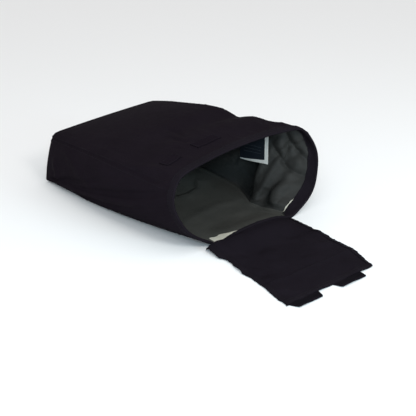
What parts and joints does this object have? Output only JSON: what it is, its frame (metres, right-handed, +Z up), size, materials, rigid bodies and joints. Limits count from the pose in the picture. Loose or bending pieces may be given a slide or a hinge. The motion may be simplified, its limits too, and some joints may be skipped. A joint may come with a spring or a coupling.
{
  "type": "film changing bag",
  "caption": "Light-proof cloth bag with a wide lined mouth, a closing flap with grip tabs and elasticated arm sleeves at its closed end.",
  "frame": {"origin": "middle of the bottom panel's underside, half way between the closed end and the lower lip", "axes": "+Z up, -Y out of the mouth and along the flap, +Y towards the closed end and the sleeves, +X to the right seen from the mouth"},
  "size_m": [0.4389, 0.9687, 0.194],
  "materials": {
    "outer_cloth": "close black weave, dull sheen",
    "lining_cloth": "olive-grey rubberised cloth, soft sheen",
    "facing_cloth": "close black weave",
    "flap_cloth": "close black weave, a little lighter than the bag",
    "binding_tape": "narrow woven tape",
    "sleeve_cloth": "close black weave, gathered",
    "elastic_band": "ribbed white elastic",
    "hook_tape": "stiff hook tape",
    "loop_tape": "soft loop tape",
    "label_white": "woven label, white",
    "label_black": "woven label, black and bare"
  },
  "bodies": {
    "base": {"outer_bottom_panel": "outer_cloth", "outer_left_gusset": "outer_cloth", "outer_right_gusset": "outer_cloth", "outer_end_panel": "outer_cloth", "lining_bottom": "lining_cloth", "lining_left": "lining_cloth", "lining_right": "lining_cloth", "lining_end": "lining_cloth", "mouth_facing_bottom": "facing_cloth", "mouth_facing_left": "facing_cloth", "mouth_facing_right": "facing_cloth", "label_backing": "label_white", "label_face": "label_black", "flap_root": "flap_cloth", "armhole_binding_left": "binding_tape", "armhole_binding_right": "binding_tape"},
    "crown": {"outer_top_panel": "outer_cloth", "lining_top": "lining_cloth", "mouth_facing_top": "facing_cloth", "loop_strip_left": "loop_tape", "loop_strip_right": "loop_tape"},
    "flap_front": {"flap_front_outer": "flap_cloth", "flap_front_facing": "flap_cloth", "flap_binding_left": "binding_tape", "flap_binding_right": "binding_tape"},
    "flap_end": {"flap_end_outer": "flap_cloth", "flap_end_facing": "flap_cloth", "flap_end_hem": "binding_tape"},
    "grip_left": {"tab_left": "flap_cloth", "hook_strip_left": "hook_tape"},
    "grip_right": {"tab_right": "flap_cloth", "hook_strip_right": "hook_tape"},
    "arm_left": {"sleeve_left": "sleeve_cloth", "sleeve_elastic_left": "elastic_band", "sleeve_cuff_left": "sleeve_cloth"},
    "arm_right": {"sleeve_right": "sleeve_cloth", "sleeve_elastic_right": "elastic_band", "sleeve_cuff_right": "sleeve_cloth"}
  },
  "joints": [
    {"name": "mouth_close", "type": "hinge", "parent": "base", "child": "crown", "pos_m": [0, 0.285, 0], "axis": [1, 0, 0], "range_deg": [0, 15], "deforming": ["outer_left_gusset", "outer_right_gusset", "outer_end_panel", "lining_left", "lining_right", "lining_end", "mouth_facing_left", "mouth_facing_right", "label_backing", "label_face"]},
    {"name": "flap_fold", "type": "hinge", "parent": "base", "child": "flap_front", "pos_m": [0, -0.285, 0.0015], "axis": [-1, 0, 0], "range_deg": [0, 102], "deforming": ["flap_root"]},
    {"name": "flap_end_fold", "type": "hinge", "parent": "flap_front", "child": "flap_end", "pos_m": [0, -0.49015, 0.004], "axis": [-1, 0, 0], "range_deg": [0, 75]},
    {"name": "tab_left_bend", "type": "hinge", "parent": "flap_end", "child": "grip_left", "pos_m": [-0.149, -0.56815, 0.004], "axis": [-1, 0, 0], "range_deg": [0, 25]},
    {"name": "tab_right_bend", "type": "hinge", "parent": "flap_end", "child": "grip_right", "pos_m": [-0.028, -0.56815, 0.004], "axis": [-1, 0, 0], "range_deg": [0, 25]},
    {"name": "sleeve_left_fold", "type": "hinge", "parent": "base", "child": "arm_left", "pos_m": [-0.085, 0.2954, 0.037], "axis": [1, 0, 0], "range_deg": [0, 75]},
    {"name": "sleeve_right_fold", "type": "hinge", "parent": "base", "child": "arm_right", "pos_m": [0.085, 0.2954, 0.037], "axis": [1, 0, 0], "range_deg": [0, 75]}
  ]
}
